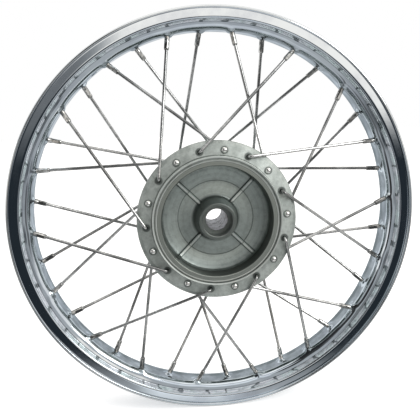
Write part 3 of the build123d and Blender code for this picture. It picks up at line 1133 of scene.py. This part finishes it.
@dataclass(frozen=True)
class Spoke:
    """One bent wire with a domed head."""

    radius: float = 1.75 * MM
    elbow_bend: float = 4.0 * MM
    head_radius: float = 3.8 * MM
    head_height: float = 2.7 * MM
    tip_depth: float = 4.65 * MM
    sides: int = 20
    elbow_steps: int = 10
    head_sides: int = 32
    head_steps: int = 7

    def build(self, finish: Material, run: SpokeRun) -> Object:
        """Draws the wire and its head.

        Args:
            finish: the steel.
            run: where the spoke goes.

        Returns:
            The spoke.
        """
        bm = bmesh.new()
        self._wire(bm, run)
        head = [Corner(0.0, 0.0), *dome(self.head_radius, self.head_height, 0.0, self.head_steps)]
        Outline(tuple(head)).spin(bm, self.head_sides, along_axis(run.head, run.head_way))
        piece = new_object(f"wire_{run.name}", bm)
        fit(piece, finish, [f"spoke_{run.name}"])
        return piece

    def _wire(self, bm: BMesh, run: SpokeRun) -> None:
        """Draws the wire from its head, round its elbow, to its tip in the nipple.

        Args:
            bm: the mesh that the wire goes to.
            run: where the spoke goes.
        """
        leg = (run.elbow - run.head).normalized()
        tip = run.nipple_place @ Vector((0, -self.tip_depth, 0))
        way = (tip - run.elbow).normalized()
        turn = leg.angle(way)
        reach = self.elbow_bend * math.tan(turn / 2)
        start = run.elbow - leg * reach
        inward = (way - leg * way.dot(leg)).normalized()
        ring = Matrix.Translation(run.head) @ leg.to_track_quat("Z", "Y").to_matrix().to_4x4()
        bmesh.ops.create_circle(bm, cap_ends=True, radius=self.radius, segments=self.sides, matrix=ring)
        edges = self._draw_out(bm, bm.edges[:], start - run.head)
        bend = {"cent": start + inward * self.elbow_bend, "axis": leg.cross(way), "angle": turn}
        bent = bmesh.ops.spin(bm, geom=edges, steps=self.elbow_steps, **bend)
        edges = [item for item in bent["geom_last"] if isinstance(item, BMEdge)]
        edges = self._draw_out(bm, edges, tip - (run.elbow + way * reach))
        bmesh.ops.contextual_create(bm, geom=edges)

    @staticmethod
    def _draw_out(bm: BMesh, edges: list[BMEdge], by: Vector) -> list[BMEdge]:
        """Draws a ring of edges out into a straight tube.

        Args:
            bm: the mesh.
            edges: the ring.
            by: how far and which way.

        Returns:
            The ring at the far end.
        """
        made = bmesh.ops.extrude_edge_only(bm, edges=edges)["geom"]
        bmesh.ops.translate(bm, vec=by, verts=[item for item in made if isinstance(item, BMVert)])
        return [item for item in made if isinstance(item, BMEdge)]


@dataclass(frozen=True)
class Nipple:
    """The nut on a spoke's outer end: a slotted head, a round neck and a square for the key."""

    radius: float = 2.9 * MM
    length: float = 15.0 * MM
    round_length: float = 4.5 * MM
    square: float = 5.0 * MM
    end_radius: float = 2.4 * MM
    end_length: float = 1.6 * MM
    head_radius: float = 4.3 * MM
    head_height: float = 4.2 * MM
    head_band: float = 0.5 * MM
    head_steps: int = 6
    end_bends: Span = (0.4 * MM, 0.5 * MM)
    slot_width: float = 1.2 * MM
    slot_depth: float = 1.3 * MM
    sides: int = 24

    def build(self, finish: Material, family: SpokeFamily, runs: list[SpokeRun]) -> Object:
        """Makes a family's nipples.

        Args:
            finish: the plating.
            family: the family.
            runs: where its spokes go.

        Returns:
            The nipples, as one piece.
        """
        bm = bmesh.new()
        for run in runs:
            verts = self._outline().spin(bm, self.sides)
            self._square_off(verts)
            verts = self._cut_slot(bm, verts)
            bmesh.ops.transform(bm, matrix=run.nipple_place, verts=verts)
        piece = new_object(f"key_nipples_{family.name}", bm)
        fit(piece, finish, [f"nipples_{family.name}"])
        return piece

    def _outline(self) -> Outline:
        """The nipple's outline, with local Y towards the hub and zero at the dimple's top."""
        cone = (self.head_radius - self.radius) / CONE_SLOPE
        shoulder = -SHEET - cone - self.head_band
        top = -SHEET - self.head_height
        corners = [
            Corner(0.0, self.length),
            Corner(self.end_radius, self.length, self.end_bends[0]),
            Corner(self.radius, self.length - self.end_length, self.end_bends[1]),
            Corner(self.radius, self.round_length + SEAM),
            Corner(self.radius, self.round_length),
            Corner(self.radius, -SHEET),
            Corner(self.head_radius, -SHEET - cone),
            *dome(self.head_radius, top - shoulder, shoulder, self.head_steps),
        ]
        return Outline(tuple(corners))

    def _square_off(self, verts: list[BMVert]) -> None:
        """Flattens four sides of the body past its round neck.

        Args:
            verts: the nipple's vertices, before it is put in place.
        """
        half = self.square / 2
        for vert in verts:
            if vert.co.y > self.round_length + SEAM / 2:
                vert.co.x = max(-half, min(half, vert.co.x))
                vert.co.z = max(-half, min(half, vert.co.z))

    def _cut_slot(self, bm: BMesh, verts: list[BMVert]) -> list[BMVert]:
        """Sinks the screwdriver's slot into the head.

        Args:
            bm: the mesh.
            verts: the nipple's vertices, before it is put in place.

        Returns:
            Its vertices with the slot's.
        """
        floor = -SHEET - self.head_height + self.slot_depth
        half = self.slot_width / 2
        solid = set(verts)
        before = set(bm.verts) - solid
        for place in (-half - SEAM, -half, half, half + SEAM):
            low = [vert for vert in solid if vert.is_valid and vert.co.y < floor]
            faces = {face for vert in low for face in vert.link_faces}
            edges = {edge for face in faces for edge in face.edges}
            geom = [*faces, *edges, *{vert for edge in edges for vert in edge.verts}]
            bmesh.ops.bisect_plane(bm, geom=geom, plane_co=(place, 0, 0), plane_no=(1, 0, 0))
            solid = set(bm.verts) - before
        for vert in solid:
            if abs(vert.co.x) < half + SEAM / 2 and vert.co.y < floor:
                vert.co.y = floor
        return list(solid)


@dataclass(frozen=True)
class BrakeDrum:
    """The hub casting's finish, and the iron ring that the brake shoes rub on."""

    bore: float = 65.0 * MM
    wall: float = 4.5 * MM
    mouth: float = 43.3 * MM
    length: float = 21.8 * MM
    chamfer: float = 0.8 * MM
    steps: int = 240

    def build(self, iron: Material) -> Object:
        """Spins the iron ring.

        Args:
            iron: its finish.

        Returns:
            The ring.
        """
        corners = (
            Corner(self.bore + self.wall, self.length - self.mouth),
            Corner(self.bore + self.wall, -self.mouth),
            Corner(self.bore + self.chamfer, -self.mouth),
            Corner(self.bore, self.chamfer - self.mouth),
            Corner(self.bore, self.length - self.mouth),
        )
        bm = bmesh.new()
        Outline(corners).spin(bm, self.steps)
        piece = new_object("drum_ring", bm)
        fit(piece, iron, ["brake_drum_liner"])
        return piece

    @staticmethod
    def dress(casting: Material, node: Object) -> None:
        """Gives the hub casting its finish.

        Args:
            casting: the finish.
            node: the plain model's hub.
        """
        node.data.materials.clear()
        node.data.materials.append(casting)
        LOG.info("%s: finish only", node.name)


# --- Stage --------------------------------------------------------------------------------


def grey(level: float, tint: float = 0.0) -> Colour:
    """A grey, a little blue where the tint is above zero and a little warm below it."""
    return (level * (1 - tint), level, level * (1 + tint))


@dataclass(frozen=True)
class Panel:
    """A soft-edged patch of the studio, by the directions in degrees that it is seen in."""

    azimuth: float
    elevation: float
    half_width: float
    half_height: float
    soft: float
    light: float
    tint: float = 0.0

    def paint(self, graph: Graph, azimuth: Wire, elevation: Wire, under: Union[Wire, Colour]) -> Wire:
        """Paints the patch over the studio.

        Args:
            graph: the world's graph.
            azimuth: the direction's azimuth, from the camera's side towards X.
            elevation: its elevation.
            under: the studio so far.

        Returns:
            The studio with the patch.
        """
        across = (azimuth - self.azimuth).wrapped(180).size()
        up = (elevation - self.elevation).size()
        mask = across.smooth(self.half_width + self.soft, self.half_width - self.soft)
        mask = mask * up.smooth(self.half_height + self.soft, self.half_height - self.soft)
        return graph.blend(mask, under, grey(self.light, self.tint))


@dataclass(frozen=True)
class Surroundings:
    """What the metal reflects: a pale room of light and dark patches, given in degrees."""

    base: Colour = grey(0.52)
    straight_behind: Span = (0.90, 0.985)
    panels: tuple[Panel, ...] = (
        Panel(0, 82, 200, 26, 8, 1.3, -0.04),
        Panel(0, -75, 200, 25, 8, 0.60),
        Panel(95, -60, 35, 22, 8, 1.1, -0.04),
        Panel(-84, -48, 34, 13, 5, 0.10, 0.1),
        Panel(180, 0, 40, 50, 10, 0.60),
        Panel(118, 10, 22, 60, 6, 1.1),
        Panel(-118, 10, 22, 60, 6, 1.1),
        Panel(114, -20, 14, 10, 4, 0.15),
        Panel(10, 36, 60, 9, 4, 1.0),
        Panel(12, 18, 24, 9, 4, 0.50),
        Panel(60, 13, 20, 15, 4, 1.0, -0.04),
        Panel(66, 38, 24, 14, 5, 1.3, -0.10),
        Panel(11, 5, 15, 8, 3, 1.2, -0.09),
        Panel(-47, -12, 14, 16, 4, 0.04),
        Panel(-62, 2, 10, 9, 3, 1.25, -0.05),
        Panel(-44, 42, 20, 14, 3, 0.03),
        Panel(-43, 19, 15, 13, 3, 0.04),
        Panel(-18, 27, 9, 8, 3, 0.05),
        Panel(-13, 2, 8, 7, 3, 0.22),
        Panel(6, -15, 26, 12, 3, 0.03, 0.2),
        Panel(50, -14, 10, 8, 4, 0.15),
        Panel(78, -26, 10, 14, 4, 0.12),
        Panel(-34, -31, 13, 8, 4, 0.15),
        Panel(3, -25, 5, 5, 2, 1.1),
        Panel(5, -55, 22, 12, 6, 0.80),
    )

    def world(self) -> bpy.types.World:
        """The studio's light, white where the camera looks past the wheel."""
        world = bpy.data.worlds.new("studio")
        world.use_nodes = True
        graph = Graph(world.node_tree)
        x, y, z = graph.parts(graph.node("ShaderNodeTexCoord", output="Generated"))
        azimuth = x.apply("ARCTAN2", y * -1) * math.degrees(1)
        elevation = z.apply("ARCSINE") * math.degrees(1)
        room: Union[Wire, Colour] = self.base
        for panel in self.panels:
            room = panel.paint(graph, azimuth, elevation, room)
        colour = graph.blend(white_rays(graph, y.smooth(*self.straight_behind)), room, grey(1.0))
        light = graph.node("ShaderNodeBackground", values={"Color": colour, "Strength": 1.0})
        graph.sink("ShaderNodeOutputWorld", light)
        return world


def white_rays(graph: Graph, behind: Union[Wire, Number] = 1.0) -> Wire:
    """Picks out the rays that see the white background.

    Args:
        graph: the graph.
        behind: how far a reflected ray runs towards the background.

    Returns:
        1 for a ray that sees white.
    """
    rays = [f"Is {kind} Ray" for kind in ("Camera", "Glossy", "Transmission")]
    camera, glossy, through = (graph.node("ShaderNodeLightPath", output=ray) for ray in rays)
    return (camera + through + glossy * behind).at_most(1.0)


@dataclass(frozen=True)
class Lamp:
    """A soft square lamp, by the direction in degrees that it hangs in."""

    azimuth: float
    elevation: float
    distance: float
    size: float
    watts: float

    def hang(self, name: str) -> None:
        """Hangs the lamp, aimed at the hub.

        Args:
            name: the lamp's name.
        """
        data = bpy.data.lights.new(name, "AREA")
        data.shape = "SQUARE"
        data.size = self.size
        data.energy = self.watts
        lamp = bpy.data.objects.new(name, data)
        bpy.context.scene.collection.objects.link(lamp)
        way = towards(self.azimuth, self.elevation)
        turn = way.to_track_quat("Z", "Y").to_matrix().to_4x4()
        lamp.matrix_world = Matrix.Translation(way * self.distance) @ turn


def towards(azimuth: float, elevation: float) -> Vector:
    """The direction at an azimuth, from the drum's side towards X, and an elevation, in degrees."""
    turn, rise = math.radians(azimuth), math.radians(elevation)
    return Vector((math.sin(turn) * math.cos(rise), -math.cos(turn) * math.cos(rise), math.sin(rise)))


@dataclass(frozen=True)
class FloorPaint(Finish):
    """Plain pale paint, which glows where the camera sees it, so that only the shadow shows."""

    name: str = "floor_paint"
    paint: float = 0.85
    glow: float = 0.5

    def sockets(self, graph: Graph) -> Sockets:
        """The paint's sockets.

        Args:
            graph: the graph to build in.

        Returns:
            Numbers, colours or wires, by the shader's socket.
        """
        return {
            "Base Color": (*grey(self.paint), 1.0),
            "Roughness": 1.0,
            "Specular IOR Level": 0.0,
            "Emission Color": graph.blend(white_rays(graph, 0.0), grey(0.0), grey(self.glow)),
            "Emission Strength": 1.0,
        }


@dataclass(frozen=True)
class Studio:
    """The floor, the soft light and the camera."""

    azimuth: float = -5.64
    elevation: float = 10.66
    roll: float = -1.69
    distance: float = 0.671
    aim: Vector = field(default_factory=lambda: Vector((-0.0044, 0.0023, 0.0100)))
    lens: float = 46.87
    clip: Span = (0.01, 50.0)
    floor_half: float = 6.0
    surroundings: Surroundings = Surroundings()
    key: Lamp = Lamp(azimuth=47, elevation=29, distance=1.6, size=0.7, watts=9.0)

    def build(self, lowest: float) -> None:
        """Makes the stage.

        Args:
            lowest: the height that the wheel stands on.
        """
        self._floor(lowest)
        bpy.context.scene.world = self.surroundings.world()
        self.key.hang("key_lamp")
        self._camera()

    def _floor(self, lowest: float) -> None:
        """Lays the floor, which stays white but for the wheel's shadow.

        Args:
            lowest: the floor's height.
        """
        bm = bmesh.new()
        place = Matrix.Translation((0, 0, lowest))
        bmesh.ops.create_grid(bm, x_segments=1, y_segments=1, size=self.floor_half, matrix=place)
        floor = new_object("studio_floor", bm)
        floor.data.materials.append(FloorPaint().material())
        floor.visible_glossy = False
        floor.visible_shadow = False
        floor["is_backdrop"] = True

    def _camera(self) -> None:
        """Sets up the camera."""
        back = towards(self.azimuth, self.elevation)
        data = bpy.data.cameras.new("camera")
        data.lens = self.lens
        data.clip_start, data.clip_end = self.clip
        camera = bpy.data.objects.new("camera", data)
        bpy.context.scene.collection.objects.link(camera)
        turn = (-back).to_track_quat("-Z", "Y").to_matrix().to_4x4()
        turn = turn @ Matrix.Rotation(math.radians(self.roll), 4, "Z")
        camera.matrix_world = Matrix.Translation(self.aim + back * self.distance) @ turn
        bpy.context.scene.camera = camera
        LOG.info("camera at %s", [round(value, 4) for value in camera.matrix_world.translation])


def main() -> None:
    """Builds the wheel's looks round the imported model."""
    logging.basicConfig(level=logging.INFO, format="%(name)s: %(message)s")
    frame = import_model()
    cad_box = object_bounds()
    bpy.context.scene.view_settings.view_transform = "Standard"
    lacing = Lacing()
    Rim().build(ChromePlate().material(), lacing)
    wires = {
        Leaves.OUTER: PlainMetal("spoke_wire").material(),
        Leaves.INNER: PlainMetal("headed_wire", polished=(36.8 * MM, 37.0 * MM)).material(),
    }
    tarnish = Clouds(17, 2, 0.5, 0.40, 0.60, 0.5)
    plating = PlainMetal("nipple_plating", (0.84, 0.84, 0.82), (0.30, 0.31, 0.30), 0.12, tarnish).material()
    for family in lacing.families():
        runs = lacing.runs(family)
        for run in runs:
            Spoke().build(wires[family.leaves], run)
        Nipple().build(plating, family, runs)
    drum = BrakeDrum()
    drum.build(DrumIron().material())
    drum.dress(CastAluminium().material(), frame["nodes"]["hub_casting"])
    Studio().build(cad_box[0].z)


if __name__ == "__main__":
    main()
